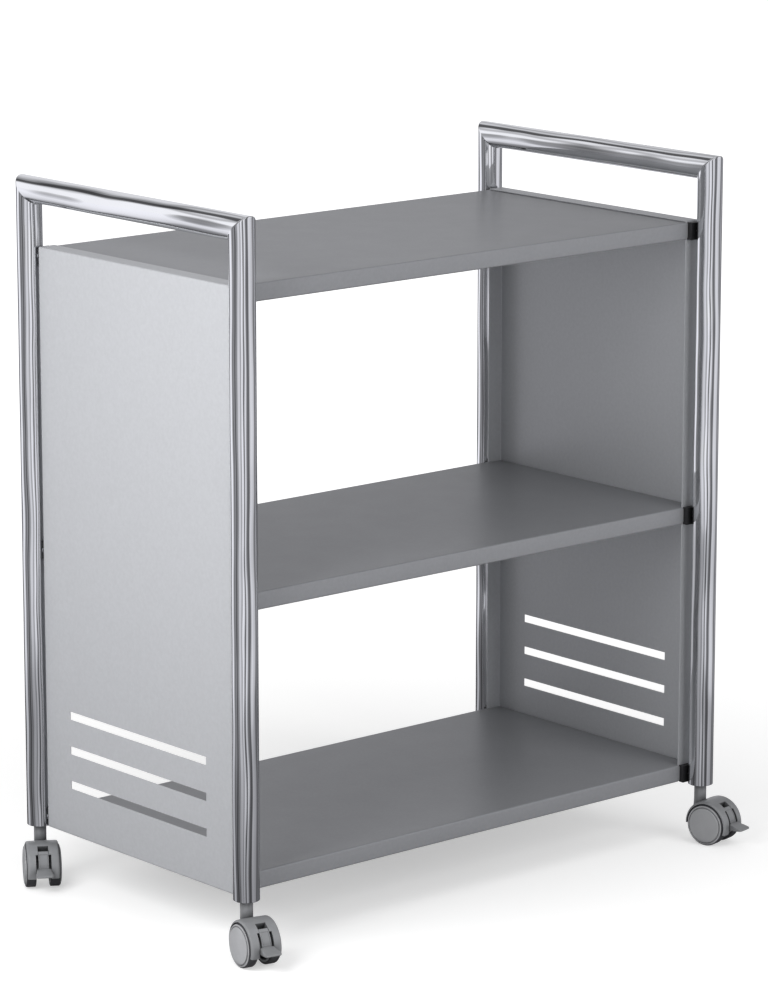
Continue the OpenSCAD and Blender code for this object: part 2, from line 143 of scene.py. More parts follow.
class CastorSizes(bpy.types.PropertyGroup):
    """Sizes of the castors"""

    wheel_r: FloatProperty(
        name="Wheel radius", description="Radius of the wheels over their tyres",
        default=25 * MM, min=15 * MM, **LENGTH)
    trail: FloatProperty(
        name="Trail", description="Distance between the swivel axis and the axle",
        default=20 * MM, min=10 * MM, **LENGTH)
    wheel_in: FloatProperty(
        name="Wheel inside",
        description="Distance from the castor's middle to a wheel's inner face",
        default=8.25 * MM, min=5 * MM, **LENGTH)
    wheel_out: FloatProperty(
        name="Wheel outside",
        description="Distance from the castor's middle to a wheel's outer face",
        default=19.75 * MM, min=10 * MM, **LENGTH)
    guard_r: FloatProperty(
        name="Mudguard radius", description="Outer radius of the mudguard",
        default=29 * MM, min=20 * MM, **LENGTH)
    guard_half: FloatProperty(
        name="Half mudguard", description="Half the width of the mudguard",
        default=18.95 * MM, min=10 * MM, **LENGTH)
    guard_front: FloatProperty(
        name="Mudguard front",
        description="Angle of the mudguard's front end from the axle's level",
        default=np.radians(-18), subtype="ANGLE")
    guard_back: FloatProperty(
        name="Mudguard back", description="Angle of the mudguard's back end, over the top",
        default=np.radians(182), subtype="ANGLE")
    recess_top: FloatProperty(
        name="Recess top", description="Angle up to which the recess is as wide as the ledge",
        default=np.radians(41), subtype="ANGLE")
    window_top: FloatProperty(
        name="Window top", description="Angle at which the window over the brake lever ends",
        default=np.radians(66), subtype="ANGLE")
    core_r: FloatProperty(
        name="Core radius", description="Radius of the body's core behind the brake lever",
        default=10.5 * MM, min=8 * MM, **LENGTH)
    web_half: FloatProperty(
        name="Half web", description="Half the width of the web between the wheels",
        default=7.25 * MM, min=4 * MM, **LENGTH)
    lever_half: FloatProperty(
        name="Half lever", description="Half the width of a brake lever's plate",
        default=6 * MM, min=3 * MM, **LENGTH)
    ledge_half: FloatProperty(
        name="Half ledge", description="Half the width of a foot ledge at the mudguard",
        default=8.75 * MM, min=4 * MM, **LENGTH)
    tip_half: FloatProperty(
        name="Half tip", description="Half the width of a foot ledge at its tip",
        default=10 * MM, min=4 * MM, **LENGTH)
    ledge_r: FloatProperty(
        name="Ledge reach", description="Distance from the axle to the tip of a foot ledge",
        default=46 * MM, min=30 * MM, **LENGTH)


class FinishColours(bpy.types.PropertyGroup):
    """Colours of the finishes"""

    chrome: FloatVectorProperty(
        name="Chrome", description="Reflected colour of the chromed tubes",
        default=(0.86, 0.87, 0.885), **COLOUR)
    panel: FloatVectorProperty(
        name="Side panels", description="Powder coat of the side panels",
        default=(0.53, 0.54, 0.56), **COLOUR)
    shelf: FloatVectorProperty(
        name="Shelves", description="Powder coat of the shelves",
        default=(0.255, 0.26, 0.275), **COLOUR)
    steel: FloatVectorProperty(
        name="Zinc steel", description="Zinc-plated screws, stems and axles",
        default=(0.62, 0.63, 0.65), **COLOUR)
    black: FloatVectorProperty(
        name="Black plastic", description="Spacers and inserts",
        default=(0.022, 0.022, 0.024), **COLOUR)
    castor: FloatVectorProperty(
        name="Castor bodies", description="Moulded plastic of the castor bodies",
        default=(0.27, 0.275, 0.285), **COLOUR)
    cover: FloatVectorProperty(
        name="Wheel covers", description="Moulded plastic of the wheel covers",
        default=(0.47, 0.475, 0.49), **COLOUR)
    tyre: FloatVectorProperty(
        name="Tyres", description="Soft tread of the wheels",
        default=(0.05, 0.05, 0.055), **COLOUR)


class StageLook(bpy.types.PropertyGroup):
    """Camera and lights of the studio"""

    lens: FloatProperty(
        name="Lens", description="Focal length of the camera in millimetres",
        default=158.3, min=20, max=500)
    place: FloatVectorProperty(
        name="Camera place", description="Place of the camera",
        default=(-3.2398, -3.7850, 1.5443), subtype="XYZ", unit="LENGTH", size=3)
    pitch: FloatProperty(
        name="Pitch", description="Angle of the view below the horizon",
        default=np.radians(12.44), subtype="ANGLE")
    heading: FloatProperty(
        name="Heading", description="Angle of the view from +Y towards +X",
        default=np.radians(40.68), subtype="ANGLE")
    key: FloatProperty(
        name="Key light", description="Power of the soft box on the left in watts",
        default=15.2, min=0, max=2000)
    front: FloatProperty(
        name="Front light", description="Power of the soft box in front in watts",
        default=70, min=0, max=2000)
    fill: FloatProperty(
        name="Fill light", description="Strength of the even light of the room",
        default=0.5, min=0, max=5)
    floor: FloatVectorProperty(
        name="Floor", description="Colour of the floor",
        default=(0.66, 0.66, 0.66), **COLOUR)


# Grids of points


def cells(rows, cols, ring_rows=False, ring_cols=False, keep=None):
    """Corner numbers of the cells of a grid; a ring joins its last row or column to its first."""
    row = np.arange(rows if ring_rows else rows - 1)
    col = np.arange(cols if ring_cols else cols - 1)
    row, col = np.meshgrid(row, col, indexing="ij")
    next_row = (row + 1) % rows
    next_col = (col + 1) % cols
    quads = np.stack([row * cols + col, next_row * cols + col,
                      next_row * cols + next_col, row * cols + next_col], axis=-1)
    return quads.reshape(-1, 4) if keep is None else quads[keep]


def surface(points, ring_rows=False, ring_cols=False, keep=None):
    """A grid of points, shape rows by columns by 3, as a list of points and its cells."""
    rows, cols = points.shape[:2]
    return points.reshape(-1, 3), cells(rows, cols, ring_rows, ring_cols, keep)


def grid_of(x, y, z):
    """Points from three coordinates that are rows, columns or single numbers."""
    return np.stack(np.broadcast_arrays(x, y, z), axis=-1)


def mirrored(half):
    """Rising values on one side of the middle, and the same on the other side before them."""
    return np.r_[-half[::-1], half]


def joined(surfaces):
    """Several surfaces as one list of points and one of cells, without unused points."""
    points, quads = zip(*surfaces)
    starts = np.cumsum([0] + [len(part) for part in points])
    quads = np.concatenate([part + start for part, start in zip(quads, starts)])
    used, quads = np.unique(quads, return_inverse=True)
    return np.concatenate(points)[used], quads.reshape(-1, 4)


def arc(low, high, steps):
    """Cosines and sines of evenly spaced angles from low to high, both in degrees."""
    turn = np.radians(np.linspace(low, high, steps + 1))
    return np.cos(turn), np.sin(turn)


def full_turn(count):
    """Evenly spaced angles of a whole turn, as a column."""
    return np.arange(count)[:, None] * FULL / count


def lathe(profile, count=ROUND_STEPS):
    """Closed profile of (along, radius) pairs turned about X: (along, r cos t, r sin t)."""
    along, radius = profile[None, :, 0], profile[None, :, 1]
    turn = full_turn(count)
    points = grid_of(along, radius * np.cos(turn), radius * np.sin(turn))
    return surface(points, ring_rows=True)


def rounded_square(power, count=48):
    """Unit rounded square: cosine and sine of the turn, each raised to a power below 1."""
    turn = full_turn(count)[:, 0]
    corner = np.stack([np.cos(turn), np.sin(turn)])
    return np.sign(corner) * np.abs(corner) ** power


def linked(name, data):
    """An object for some data, linked to the scene."""
    thing = bpy.data.objects.new(name, data)
    bpy.context.scene.collection.objects.link(thing)
    return thing


def mesh_of(name, points, quads):
    """A mesh from arrays of points and cells."""
    mesh = bpy.data.meshes.new(name)
    mesh.from_pydata(points.tolist(), [], quads.tolist())
    return mesh


def make_piece(name, surfaces, body, finish, nodes=(), wall=0.0, bevel=0.0):
    """One object from surfaces: doubles merged, faces outward, walls and soft edges by modifier."""
    mesh = mesh_of(name, *joined(surfaces))
    work = bmesh.new()
    work.from_mesh(mesh)
    bmesh.ops.remove_doubles(work, verts=work.verts, dist=DOUBLE)
    bmesh.ops.recalc_face_normals(work, faces=work.faces)
    work.to_mesh(mesh)
    work.free()
    piece = linked(name, mesh)
    if wall:
        solid = piece.modifiers.new("Wall", "SOLIDIFY")
        solid.thickness = wall
        solid.offset = -1
        solid.use_even_offset = True
        depsgraph = bpy.context.evaluated_depsgraph_get()
        mesh = bpy.data.meshes.new_from_object(piece.evaluated_get(depsgraph))
        piece.modifiers.clear()
        piece.data = mesh
    mesh.shade_smooth()
    mesh.set_sharp_from_angle(angle=SMOOTH_LIMIT)
    if bevel:
        soft = piece.modifiers.new("Soft edges", "BEVEL")
        soft.width = bevel
        soft.segments = 2
        soft.limit_method = "ANGLE"
        soft.angle_limit = SMOOTH_LIMIT
        soft.harden_normals = True
    mesh.materials.append(material(finish))
    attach(piece, body)
    if nodes:
        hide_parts(*nodes)
    return piece


# Node trees

# Blue of a grey level, against its red and green
COOL = 1.02


class Tree:
    """Node tree of a material or a world, with short ways to add nodes and to join them."""

    def __init__(self, owner):
        owner.use_nodes = True
        self.nodes = owner.node_tree.nodes
        self.links = owner.node_tree.links

    def feed(self, socket, value):
        """An input joined to an output or to a node's first output, or set to a value."""
        if isinstance(value, bpy.types.Node):
            value = value.outputs[0]
        if isinstance(value, bpy.types.NodeSocket):
            self.links.new(value, socket)
        else:
            socket.default_value = value

    def add(self, kind, inputs=(), **values):
        """A shader node of a kind, with its own values set and its inputs fed."""
        node = self.nodes.new(f"ShaderNode{kind}")
        for key, value in values.items():
            setattr(node, key, value)
        for key, value in dict(inputs).items():
            self.feed(node.inputs[key], value)
        return node

    def number(self, operation, *inputs):
        """Result of arithmetic on numbers."""
        return self.add("Math", dict(enumerate(inputs)), operation=operation).outputs[0]

    def vector(self, operation, *inputs):
        """Result of arithmetic on vectors or colours."""
        return self.add("VectorMath", dict(enumerate(inputs)), operation=operation).outputs[0]

    def graded(self, source, stops):
        """Grey level that runs straight from stop to stop, each a rising value and its level."""
        low, high = stops[0][0], stops[-1][0]
        span = self.add("MapRange", {"Value": source, "From Min": low, "From Max": high})
        ramp = self.add("ValToRGB", {"Fac": span})
        elements = ramp.color_ramp.elements
        for value, level in stops[1:-1]:
            elements.new((value - low) / (high - low))
        for element, (value, level) in zip(elements, stops):
            element.color = (level, level, level * COOL, 1)
        return ramp.outputs["Color"]


# Finishes

# Nearly all of a noise's values lie between these two
NOISE_SPAN = (0.3, 0.7)


class Finish(Tree):
    """Material with a shader and object coordinates, and the patterns that finishes share."""

    def __init__(self, name):
        self.material = bpy.data.materials.new(name)
        super().__init__(self.material)
        self.shader = self.nodes["Principled BSDF"]
        self.place = self.add("TexCoord").outputs["Object"]

    def shade(self, inputs):
        """The material, once its shader's inputs are fed by name."""
        for key, value in inputs.items():
            self.feed(self.shader.inputs[key], value)
        return self.material

    def noise(self, scale, detail=2.0, stretch=(1, 1, 1), output="Fac"):
        """Soft noise of a number of grains for each metre, fewer where stretch is below 1."""
        place = self.add("Mapping", {"Vector": self.place, "Scale": stretch})
        noise = self.add("TexNoise", {"Vector": place, "Scale": scale, "Detail": detail})
        return noise.outputs[output]

    def ranged(self, noise, low, high):
        """A noise brought between two values."""
        span = {"From Min": NOISE_SPAN[0], "From Max": NOISE_SPAN[1], "To Min": low, "To Max": high}
        return self.add("MapRange", {"Value": noise, **span})

    def tint(self, noise, colour, spread):
        """A colour made a little darker and lighter by a noise."""
        ramp = self.add("ValToRGB", {"Fac": noise})
        factors = (1 - spread, 1 + spread)
        for element, place, factor in zip(ramp.color_ramp.elements, NOISE_SPAN, factors):
            element.position = place
            element.color = (*[min(1, part * factor) for part in colour], 1)
        return ramp

    def painted_crevice_shade(self, colour, reach):
        """Painted shade: a colour darkened in grooves and slits within reach of other surfaces."""
        return self.add("AmbientOcclusion", {"Color": colour, "Distance": reach}, samples=8)

    def bump(self, height, depth, strength, before=None):
        """Relief of a depth in metres, laid over an earlier one."""
        inputs = {"Height": height, "Distance": depth, "Strength": strength}
        return self.add("Bump", inputs if before is None else {**inputs, "Normal": before})

    def turned(self, noise, amount, before):
        """A direction pushed to each side by a noise of 0 to 1 and brought back to length one."""
        centred = self.vector("SUBTRACT", noise, (0.5, 0.5, 0.5))
        pushed = self.vector("MULTIPLY_ADD", centred, (amount, amount, amount), before)
        return self.vector("NORMALIZE", pushed)


def chrome_finish(name, colour):
    """Bright plating over drawn tube: long waves, fine drawing marks and a few cloudy places."""
    n = Finish(name)
    facing = n.add("NewGeometry").outputs["Normal"]
    waves = n.noise(12, 1, (1, 0.5, 0.6), "Color")
    marks = n.noise(110, 2, (1, 0.05, 0.05), "Color")
    return n.shade({
        "Base Color": n.tint(n.noise(9, 3), colour, 0.03),
        "Metallic": 1.0,
        "Roughness": n.ranged(n.noise(40, 4), 0.035, 0.08),
        "Normal": n.turned(marks, 0.26, n.turned(waves, 0.4, facing)),
    })


def paint_finish(name, colour, rough, spread, metal):
    """Silver powder coat: metal flake under a clear sheen, a fine orange peel, faint unevenness."""
    n = Finish(name)
    peel = n.bump(n.noise(900, 2), 0.02 * MM, 0.45)
    return n.shade({
        "Base Color": n.tint(n.noise(260, 3), colour, spread),
        "Metallic": metal,
        "Roughness": n.ranged(n.noise(30, 4), rough - 0.01, rough + 0.02),
        "Coat Weight": 0.12,
        "Coat Roughness": 0.22,
        "Normal": n.bump(n.noise(5, 1), 0.4 * MM, 0.3, peel),
    })


def moulded_finish(name, colour, rough, spread, metal):
    """Moulded plastic: fine grain, soft flow marks, a silver flake and painted shade in crevices."""
    n = Finish(name)
    return n.shade({
        # The base colour is darkened by ambient occlusion within 9 mm: painted shade in crevices
        "Base Color": n.painted_crevice_shade(n.tint(n.noise(70, 4), colour, spread), 9 * MM),
        "Metallic": metal,
        "Roughness": n.ranged(n.noise(160, 3), rough - 0.05, rough + 0.06),
        "Normal": n.bump(n.noise(2600, 2), 0.02 * MM, 0.5),
    })


def tyre_finish(name, colour):
    """Soft tread: dull, with fine dust and a faint grain."""
    n = Finish(name)
    return n.shade({
        "Base Color": n.tint(n.noise(220, 5), colour, 0.18),
        "Roughness": n.ranged(n.noise(120, 4), 0.5, 0.7),
        "Normal": n.bump(n.noise(1800, 3), 0.03 * MM, 0.5),
    })


def steel_finish(name, colour):
    """Zinc plating: a satin metal with cloudy gloss and fine turning marks."""
    n = Finish(name)
    return n.shade({
        "Base Color": n.tint(n.noise(300, 4), colour, 0.08),
        "Metallic": 1.0,
        "Roughness": n.ranged(n.noise(420, 4), 0.22, 0.4),
        "Normal": n.bump(n.noise(700, 2, (1, 1, 8)), 0.01 * MM, 0.4),
    })


# Maker of each finish and its own values: roughness, spread of the colour, share of metal flake
FINISHES = {
    "chrome": (chrome_finish,),
    "panel": (paint_finish, 0.46, 0.03, 0.45),
    "shelf": (paint_finish, 0.42, 0.03, 0.2),
    "steel": (steel_finish,),
    "black": (moulded_finish, 0.42, 0.12, 0.0),
    "castor": (moulded_finish, 0.33, 0.06, 0.3),
    "cover": (moulded_finish, 0.34, 0.04, 0.3),
    "tyre": (tyre_finish,),
}


def material(finish):
    """The material of a finish, made on first use from the colours on the scene."""
    name = f"{finish}_finish"
    maker, *values = FINISHES[finish]
    colour = getattr(bpy.context.scene.cart_colours, finish)
    return bpy.data.materials.get(name) or maker(name, colour, *values)


# Tube frames


def tube_walk(radius, foot, sizes):
    """Stations of an arch of tube: base y and z, outward direction in y and z, and radius.

    They go from the front foot over the rail to the back foot. A point is base + radius cos t
    along the outward direction and radius sin t along X. At a mitred corner the direction is the
    diagonal, so that both tubes meet in the mitre's plane.
    """
    length, ease = sizes.corner_round, 0.9 * MM
    t = np.linspace(0, 1, 7)
    run_y = np.r_[0, length * t ** 2, length + ease]
    run_z = np.r_[length + ease, length * (1 - t) ** 2, 0]
    one = np.ones_like(run_y)
    corner = np.stack([run_y - POST_Y, RAIL_Z - run_z, -one, one, radius * one], axis=1)
    feet = np.array([[-POST_Y, foot, -1, 0, radius], [-POST_Y, foot + ease, -1, 0, radius]])
    front = np.concatenate([feet, corner])
    return np.concatenate([front, front[::-1] * [-1, 1, -1, 1, 1]])


def tube_frame(side, sizes):
    """One frame: its outer wall, a chamfered foot, its inner wall and the other foot, as a ring."""
    chamfer = sizes.end_chamfer
    outer = tube_walk(TUBE_R, FOOT_Z + chamfer, sizes)
    inner = tube_walk(TUBE_R - sizes.wall, FOOT_Z, sizes)[::-1]
    rim = np.array([[POST_Y, FOOT_Z, 1, 0, TUBE_R - chamfer]])
    walk = np.concatenate([outer, rim, inner, rim * [-1, 1, -1, 1, 1]])
    y, z, out_y, out_z, radius = walk.T[:, :, None]
    turn = full_turn(ROUND_STEPS).T
    out = radius * np.cos(turn)
    points = grid_of(side * POST_X + radius * np.sin(turn), y + out * out_y, z + out * out_z)
    return surface(points, ring_rows=True, ring_cols=True)


class CART_OT_tube_frames(bpy.types.Operator):
    """Builds the two chromed tube frames with their mitred corners"""

    bl_idname = "cart.tube_frames"
    bl_label = "Tube frames"

    def execute(self, context):
        sizes = context.scene.cart_tubes
        for name, side in SIDES.items():
            nodes = [f"handle_rail_{name}", f"post_front_{name}", f"post_back_{name}"]
            make_piece(f"tube_frame_{name}", [tube_frame(side, sizes)], "frame", "chrome", nodes)
        return {"FINISHED"}


# Side panels

# Distance from a bend at which a flat has one more grid line
EASE = 1.5 * MM
# Ventilation slots of a side panel
VENTS = 3


def fold_profile(bend, depth):
    """Folded edge: outward run and drop of a quarter bend, then straight down to a depth."""
    run = np.r_[bend * np.sin(QUARTER), bend, bend]
    drop = np.r_[bend * (1 - np.cos(QUARTER)), bend + 1 * MM, depth]
    return run, drop


def outline_walk(across, up):
    """Stations round a rectangle, with a fan of directions at each corner.

    across and up are the sorted grid lines of the flat face inside. Each station is the base point
    on the rectangle and the outward direction, so that a profile can be carried round it.
    """
    low_a, high_a, low_u, high_u = across[0], across[-1], up[0], up[-1]
    sides = []
    for start, base_a, base_u in (
        (0, high_a + 0 * up, up),
        (90, across[::-1], high_u + 0 * across),
        (180, low_a + 0 * up, up[::-1]),
        (270, across, low_u + 0 * across),
    ):
        angle = np.full(len(base_a), np.radians(start))
        fan = np.radians(start) + QUARTER[1:]
        sides.append(np.stack([np.r_[base_a, base_a[-1] + 0 * fan],
                               np.r_[base_u, base_u[-1] + 0 * fan],
                               np.r_[np.cos(angle), np.cos(fan)],
                               np.r_[np.sin(angle), np.sin(fan)]], axis=1))
    return np.concatenate(sides)


def with_ease(lines):
    """Grid lines with one more just inside each end, which keeps the shading of the flat true."""
    return np.r_[lines[0], lines[0] + EASE, lines[1:-1], lines[-1] - EASE, lines[-1]]


def panel_surfaces(side, sizes):
    """Outer skin of a side panel: the slotted face, and the folded edge carried round it."""
    bend, face = sizes.bend, panel_high[0]
    across = with_ease(np.array([panel_low[1] + bend, -sizes.slot_half,
                                 sizes.slot_half, panel_high[1] - bend]))
    middles = panel_low[2] + sizes.slot_low + sizes.slot_pitch * np.arange(VENTS)
    edges = (middles[:, None] + sizes.slot_h / 2 * np.array([-1, 1])).ravel()
    up = with_ease(np.r_[panel_low[2] + bend, edges, panel_high[2] - bend])
    flat = grid_of(face, across[:, None], up[None, :])
    middle_y = (across[1:] + across[:-1])[:, None] / 2
    middle_z = (up[1:] + up[:-1])[None, :, None] / 2
    in_slot = (np.abs(middle_z - middles) < sizes.slot_h / 2).any(axis=2)
    keep = ~((np.abs(middle_y) < sizes.slot_half) & in_slot)
    walk = outline_walk(across, up)
    run, drop = fold_profile(bend, panel_high[0] - panel_low[0])
    base_y, base_z, out_y, out_z = walk.T[:, :, None]
    rim = grid_of(face - drop, base_y + run * out_y, base_z + run * out_z)
    mirror = np.array([side, 1, 1])
    return [surface(flat * mirror, keep=keep), surface(rim * mirror, ring_rows=True)]


class CART_OT_side_panels(bpy.types.Operator):
    """Builds the two folded side panels with their ventilation slots"""

    bl_idname = "cart.side_panels"
    bl_label = "Side panels"

    def execute(self, context):
        sizes = context.scene.cart_sheets
        for name, side in SIDES.items():
            make_piece(f"panel_{name}", panel_surfaces(side, sizes), "frame", "panel",
                       [f"side_panel_{name}"], wall=sizes.sheet, bevel=sizes.cut_bevel)
        return {"FINISHED"}


# Shelves

# Play between a shelf and the panels, and how far inside a panel a screw tab starts
PLAY, TAB_START = 0.3 * MM, 3 * MM


def shelf_span(name):
    """Lowest and highest corner of a shelf, and how far it reaches in X.

    The top shelf ends between the panels' folds, and the others reach to the panels' faces.
    """
    low, high = box_of(f"shelf_{name}")
    return low, high, panel_low[0] - PLAY if name == "top" else high[0]


def shelf_pan(name, sizes):
    """Pressed pan of a shelf and the depths of its top's grid lines.

    Its profile goes up the front face from the lip, over the surface and down the back face, and is
    carried along X. Its columns stop where the side panels' folds stand, or at the screw tabs.
    """
    low, high, end_x = shelf_span(name)
    bend, depth, top, foot = sizes.bend, high[1], high[2], low[2]
    fold_x, face_x, base_x = panel_low[0] - PLAY, panel_low[0] + EASE, end_x - bend
    inner = panel_high[1] - sizes.sheet - PLAY
    turn = np.radians(np.linspace(0, 90, 7))
    sine, cosine = np.sin(turn), np.cos(turn)
    half_y = np.r_[depth - sizes.lip, depth - bend - EASE, depth - bend + bend * sine,
                   depth - bend + bend * cosine, inner, inner - bend, inner - bend - EASE]
    half_z = np.r_[foot, foot, foot + bend * (1 - cosine), top - bend + bend * sine, top, top, top]
    y, z = np.r_[-half_y, half_y[::-1]], np.r_[half_z, half_z[::-1]]
    half_x = np.unique(np.round([EASE, fold_x, face_x, panel_low[0] + TAB_START, base_x], 7))
    half_x = half_x[half_x <= max(face_x, base_x) + HAIR]
    x = mirrored(half_x)
    pan = grid_of(x[None, :], y[:, None], z[:, None])
    cell_y = np.abs(y[1:] + y[:-1])[:, None] / 2
    cell_z = (z[1:] + z[:-1])[:, None] / 2
    cell_x = np.abs(x[1:] + x[:-1])[None, :] / 2
    on_face = (cell_y > depth - PLAY - 0.75 * sizes.sheet) & (cell_z > foot + bend)
    on_tab = (cell_y < inner) & (cell_y > inner - bend)
    reach = np.where(cell_y < inner - bend, base_x, fold_x)
    reach = np.where(on_face, face_x, reach)
    reach = np.where(on_tab, min(panel_low[0] + TAB_START, base_x), reach)
    if name == "top":
        reach = np.where(cell_y > inner, reach, base_x)
    on_top = (np.abs(y) <= inner - bend + HAIR) & (z > top - HAIR)
    return surface(pan, keep=cell_x < reach), y[on_top]


def shelf_surfaces(name, sizes):
    """Outer skin of a shelf: its pan, and the fold carried round each end and its screw tabs."""
    low, high, end_x = shelf_span(name)
    bend, top = sizes.bend, high[2]
    pan, across = shelf_pan(name, sizes)
    end_low = max(low[2], panel_low[2] + sizes.sheet + PLAY)
    base_x, corner_y = end_x - bend, panel_high[1] - sizes.sheet - PLAY - bend
    tab_start = min(panel_low[0] + TAB_START, base_x)
    run, drop = fold_profile(bend, top - end_low)
    sine, cosine, zero = np.sin(QUARTER), np.cos(QUARTER), 0 * QUARTER
    walk = np.concatenate([
        [[tab_start, -corner_y, 0, -1]],
        np.stack([base_x + zero, -corner_y + zero, sine, -cosine], axis=1),
        np.stack([base_x + 0 * across, across, 1 + 0 * across, 0 * across], axis=1)[1:],
        np.stack([base_x + zero, corner_y + zero, cosine, sine], axis=1)[1:],
        [[tab_start, corner_y, 0, 1]],
    ])
    walk_x, walk_y, out_x, out_y = walk.T[:, :, None]
    rim = grid_of(walk_x + run * out_x, walk_y + run * out_y, top - drop)
    return [pan, surface(rim), surface(rim * [-1, 1, 1])]


class CART_OT_shelves(bpy.types.Operator):
    """Builds the three pressed shelves with their folded edges"""

    bl_idname = "cart.shelves"
    bl_label = "Shelves"

    def execute(self, context):
        sizes = context.scene.cart_sheets
        for name in ("top", "middle", "bottom"):
            make_piece(f"pan_{name}", shelf_surfaces(name, sizes), "frame", "shelf",
                       [f"shelf_{name}"], wall=sizes.sheet, bevel=sizes.cut_bevel)
        return {"FINISHED"}


# Castors

# Gap round a brake lever, how far webs reach into the mudguard, and thickness of the treads
LEVER_GAP, GUARD_LAP, TREAD = 0.25 * MM, 1 * MM, 3 * MM


def placed(surfaces, corner, sizes):
    """Surfaces drawn from the axle, turned and moved to the castor of one corner."""
    side_x, side_y, turn = CORNERS[corner]
    cosine, sine = np.cos(turn), np.sin(turn)
    moved = []
    for points, quads in surfaces:
        x, y, z = points.T
        y = y - sizes.trail
        points = grid_of(side_x * POST_X + x * cosine - y * sine,
                         side_y * POST_Y + x * sine + y * cosine, z + sizes.wheel_r)
        moved.append((points, quads))
    return moved


def around_axle(angle, radius, along):
    """Points at an angle over the level in front of the axle: (along, -r cos a, r sin a)."""
    return grid_of(along, -radius * np.cos(angle), radius * np.sin(angle))


def guard_surface(sizes):
    """Mudguard: a drum whose edges round down, with the lever's window and recess left out."""
    half, edge, crown = sizes.guard_half, 2.4 * MM, 0.35 * MM
    window, recess = sizes.lever_half + LEVER_GAP, sizes.ledge_half + LEVER_GAP
    half_x = np.r_[window, recess, 12 * MM, half - edge - 1 * MM,
                   half - edge + edge * np.sin(QUARTER), half]
    drop = np.r_[0, 0, 0, 0, edge * (1 - np.cos(QUARTER)), edge + 0.1 * MM]
    x = mirrored(half_x)
    radius = sizes.guard_r - np.r_[drop[::-1], drop] - crown * (x / half) ** 2
    recess_top, window_top = sizes.recess_top, sizes.window_top
    angle = np.r_[np.linspace(sizes.guard_front, recess_top, 17)[:-1],
                  np.linspace(recess_top, window_top, 8)[:-1],
                  np.linspace(window_top, sizes.guard_back, 34)]
    points = around_axle(angle[:, None], radius[None, :], x[None, :])
    mean_x = np.abs(x[1:] + x[:-1])[None, :] / 2
    mean_angle = (angle[1:] + angle[:-1])[:, None] / 2
    in_window = (mean_angle < window_top) & (mean_x < window)
    in_recess = (mean_angle < recess_top) & (mean_x < recess)
    return surface(points, keep=~(in_window | in_recess))


def web_surface(sizes):
    """Web between the wheels: star-shaped about the axle, cut off by the line under the guard.

    It reaches into the guard behind the window, and keeps to the core under the window and over the
    last stretch before the guard's front end. Its edges are chamfered.
    """
    front_angle, back_angle, window_top = sizes.guard_front, sizes.guard_back, sizes.window_top
    step, last_stretch = np.radians(0.05), np.radians(40)
    angle = np.r_[np.linspace(front_angle, window_top, 40),
                  np.linspace(window_top + step, back_angle, 48)[:-1],
                  np.linspace(back_angle, FULL + front_angle, 60)]
    radius = np.where(angle > window_top + step / 2, sizes.guard_r - GUARD_LAP, sizes.core_r)
    front = around_axle(front_angle, sizes.guard_r, 0)[1:]
    back = around_axle(back_angle, sizes.guard_r, 0)[1:]
    run = (back - front) / np.linalg.norm(back - front)
    normal = np.array([-run[1], run[0]])
    lean = -normal[0] * np.cos(angle) + normal[1] * np.sin(angle)
    limit = np.where(lean < -HAIR, (front @ normal) / np.minimum(lean, -HAIR), 1)
    below = (angle < 0) | (angle > np.pi)
    reach = np.where(angle > FULL + front_angle - last_stretch, sizes.core_r, radius)
    radius = np.where(below, np.minimum(limit, reach), radius)
    half, cut = sizes.web_half, 0.5 * MM
    along = np.array([-half, -half, -half + cut, half - cut, half, half])
    shrink = np.array([0, 1, 1, 1, 1, 0])
    inset = np.array([0, cut, 0, 0, cut, 0])
    grid = shrink * (radius[:, None] - inset)
    return surface(around_axle(angle[:, None], grid, along[None, :]), ring_rows=True)


def window_walls(sizes):
    """The two thin cheeks beside the window over the brake lever, as closed blocks."""
    low_end, high_end = sizes.recess_top, sizes.window_top + np.radians(1)
    angle = np.r_[low_end, np.linspace(low_end, high_end, 9), high_end]
    inside, outside = sizes.lever_half + LEVER_GAP, sizes.web_half
    low, high = sizes.core_r - 1 * MM, sizes.guard_r - GUARD_LAP
    along = np.array([inside, inside, outside, outside])
    radius = np.tile([low, high, high, low], (len(angle), 1))
    along = np.tile(along, (len(angle), 1))
    for end in (0, -1):
        radius[end] = (low + high) / 2
    cheek = around_axle(angle[:, None], radius, along)
    return [surface(cheek, ring_cols=True), surface(cheek * [-1, 1, 1], ring_cols=True)]


def neck_surface(sizes):
    """Neck round the stem: a lathe about the swivel axis that flares where it leaves the guard.

    Its profile goes up the flared outside, over the chamfered rim and down the stem's bore.
    """
    top, flare_z, low = FOOT_Z - 1 * MM, 54 * MM, 34 * MM
    half, flare, cut, bore = sizes.web_half, 2.2 * MM, 0.4 * MM, 5.05 * MM
    drop = np.linspace(1, 0, 12)
    radius = np.r_[half + flare * drop ** 2, half, half - cut, 5.6 * MM, bore, bore, bore]
    height = np.r_[low + (flare_z - low) * (1 - drop), top - cut, top, top, top - 0.5 * MM,
                   top - 2 * MM, low]
    turn = full_turn(64)
    points = grid_of(radius * np.cos(turn), sizes.trail + radius * np.sin(turn),
                     height - sizes.wheel_r)
    return surface(points, ring_rows=True, ring_cols=True)


